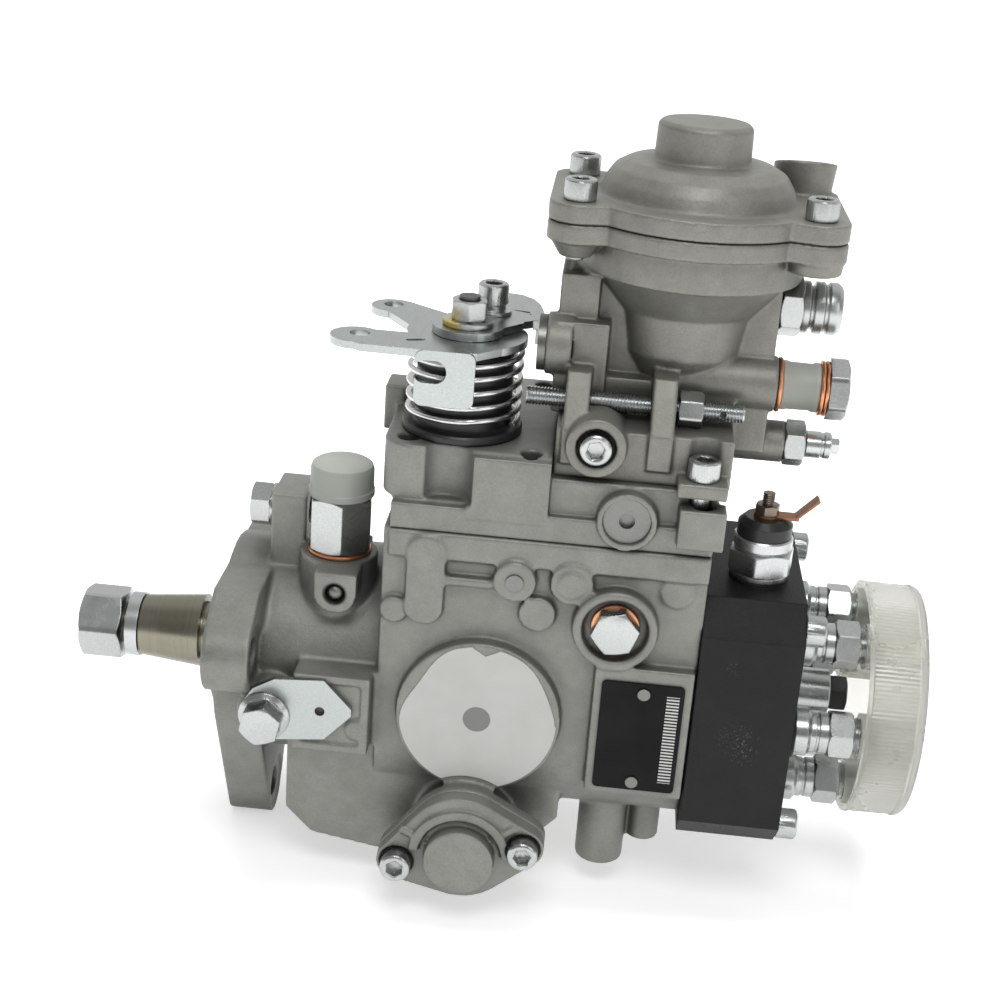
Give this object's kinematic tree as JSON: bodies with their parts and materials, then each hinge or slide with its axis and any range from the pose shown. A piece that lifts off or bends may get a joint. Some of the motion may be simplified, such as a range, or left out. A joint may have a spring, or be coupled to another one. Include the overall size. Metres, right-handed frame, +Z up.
{
  "type": "diesel injection pump",
  "caption": "Rotary diesel injection pump with tapered drive shaft, three-eared flange, throttle lever, timing device, delivery outlets and a boost compensator on top.",
  "frame": {"origin": "on the drive shaft axis, in the front face of the mounting flange", "axes": "+X along the drive shaft from its nut to the distributor head, +Z up, +Y to the side away from the viewer"},
  "size_m": [0.2825, 0.123, 0.254],
  "materials": {
    "cast_housing": "die-cast, shot-blasted matt",
    "cast_covers": "die-cast, shot-blasted matt",
    "cast_cover": "die-cast, shot-blasted matt",
    "cast_boost": "die-cast, slightly warmer matt",
    "cast_boost_cover": "die-cast, slightly warmer matt",
    "bearing_bronze": "bronze bush",
    "seal_rubber": "matt",
    "ground_steel": "finely ground",
    "machined_steel": "machined",
    "dark_steel": "phosphated dark",
    "zinc_bright": "bright zinc plated",
    "zinc_satin": "satin zinc plated",
    "zinc_plate": "zinc plated sheet",
    "terminal_steel": "tarnished terminal nut and stud",
    "plug_steel": "dull pressed plugs and balls",
    "spring_steel": "spring wire",
    "spring_bright": "bright spring wire",
    "black_head": "black phosphated steel",
    "black_steel": "black oxide",
    "black_plastic": "moulded",
    "clear_plastic": "translucent transport cap",
    "milky_plastic": "milky translucent transport caps",
    "copper": "annealed copper",
    "label_white": "bare label stock",
    "plate_black": "satin black plate",
    "rivet_alloy": "drive rivets"
  },
  "bodies": {
    "pump": {"pump_housing": "cast_housing", "shaft_bush": "bearing_bronze", "shaft_seal": "seal_rubber", "feed_pump_ring": "machined_steel", "governor_shaft": "machined_steel", "timer_covers": "cast_covers", "distributor_head": "black_head", "cap_screws": "zinc_bright", "screw_plugs": "zinc_bright", "black_screws": "black_steel", "sealing_plugs": "plug_steel", "delivery_valve_holders": "zinc_bright", "shutoff_valve": "zinc_satin", "valve_insulator": "black_plastic", "cable_lug": "copper", "valve_terminal": "terminal_steel", "governor_cover": "cast_cover", "spring_cup": "black_plastic", "boost_body": "cast_boost", "boost_diaphragm": "seal_rubber", "boost_spring": "spring_steel", "boost_cover": "cast_boost_cover", "hose_union": "zinc_bright", "return_bolt": "zinc_bright", "plastic_caps": "milky_plastic", "copper_washers": "copper", "adjusting_screws": "zinc_satin", "lock_nuts": "zinc_bright", "inlet_union": "zinc_bright", "relief_valve": "zinc_bright", "blank_label": "label_white", "rating_plate": "plate_black", "plate_rivets": "rivet_alloy", "lock_plate": "zinc_plate", "lock_bolt": "zinc_bright"},
    "shaft": {"drive_shaft": "ground_steel", "shaft_nut": "zinc_bright", "spring_washer": "zinc_satin", "feed_pump_rotor": "machined_steel", "governor_drive_gear": "machined_steel", "cam_plate": "machined_steel", "plunger": "machined_steel"},
    "governor": {"governor_weights": "machined_steel"},
    "sleeve": {"governor_sleeve": "machined_steel"},
    "fuel_lever": {"governor_lever": "machined_steel", "governor_spring": "spring_steel"},
    "collar": {"control_collar": "machined_steel"},
    "throttle": {"throttle_shaft": "dark_steel", "throttle_lever": "zinc_plate", "throttle_top_lever": "zinc_plate", "lever_fasteners": "zinc_bright", "throttle_spring": "spring_bright"},
    "advance_piston": {"timer_piston": "machined_steel", "timer_spring": "spring_steel"},
    "advance_ring": {"roller_ring": "machined_steel"},
    "armature": {"valve_armature": "machined_steel"},
    "control_pin": {"boost_pin": "machined_steel"},
    "boost_crank": {"boost_lever": "machined_steel"},
    "cap": {"transport_cap": "clear_plastic"}
  },
  "joints": [
    {"name": "drive_turn", "type": "hinge", "parent": "pump", "child": "shaft", "pos_m": [0, 0, 0], "axis": [1, 0, 0], "continuous": true},
    {"name": "governor_turn", "type": "hinge", "parent": "pump", "child": "governor", "pos_m": [0.06, 0, 0.0435], "axis": [1, 0, 0], "continuous": true},
    {"name": "fuel_lever_swing", "type": "hinge", "parent": "pump", "child": "fuel_lever", "pos_m": [0.112, 0, 0.024], "axis": [0, 1, 0], "range_deg": [0, 8], "stiffness_Nm_per_rad": 5, "springref_deg": -8.59},
    {"name": "sleeve_slide", "type": "slide", "parent": "pump", "child": "sleeve", "axis": [1, 0, 0], "range_m": [0, 0.0018]},
    {"name": "collar_slide", "type": "slide", "parent": "pump", "child": "collar", "axis": [1, 0, 0], "range_m": [-0.0021, 0]},
    {"name": "throttle_turn", "type": "hinge", "parent": "pump", "child": "throttle", "pos_m": [0.0743, -0.018, 0.1], "axis": [0, 0, 1], "range_deg": [0, 45], "stiffness_Nm_per_rad": 0.6, "springref_deg": -22.92},
    {"name": "advance_slide", "type": "slide", "parent": "pump", "child": "advance_piston", "axis": [0, 1, 0], "range_m": [0, 0.006], "stiffness_N_per_m": 8000, "springref_m": -0.002},
    {"name": "advance_ring_turn", "type": "hinge", "parent": "pump", "child": "advance_ring", "pos_m": [0.0855, 0, 0], "axis": [1, 0, 0], "range_deg": [0, 8.2]},
    {"name": "armature_lift", "type": "slide", "parent": "pump", "child": "armature", "axis": [0, 0, 1], "range_m": [0, 0.0015], "stiffness_N_per_m": 2000, "springref_m": -0.001},
    {"name": "control_pin_slide", "type": "slide", "parent": "pump", "child": "control_pin", "axis": [0, 0, 1], "range_m": [-0.007, 0], "stiffness_N_per_m": 6000, "springref_m": 0.003, "deforming": ["boost_spring"]},
    {"name": "boost_crank_turn", "type": "hinge", "parent": "pump", "child": "boost_crank", "pos_m": [0.1167, 0, 0.0941], "axis": [0, 1, 0], "range_deg": [0, 5.4]},
    {"name": "cap_pull", "type": "slide", "parent": "pump", "child": "cap", "axis": [1, 0, 0], "range_m": [0, 0.03]}
  ],
  "couplings": [
    {"joint": "governor_turn", "follows": "drive_turn", "ratio": -1.4167},
    {"joint": "sleeve_slide", "follows": "fuel_lever_swing", "m_per_rad": 0.012},
    {"joint": "collar_slide", "follows": "fuel_lever_swing", "m_per_rad": -0.014},
    {"joint": "advance_ring_turn", "follows": "advance_slide", "rad_per_m": 23.529},
    {"joint": "boost_crank_turn", "follows": "control_pin_slide", "rad_per_m": -12.86}
  ]
}
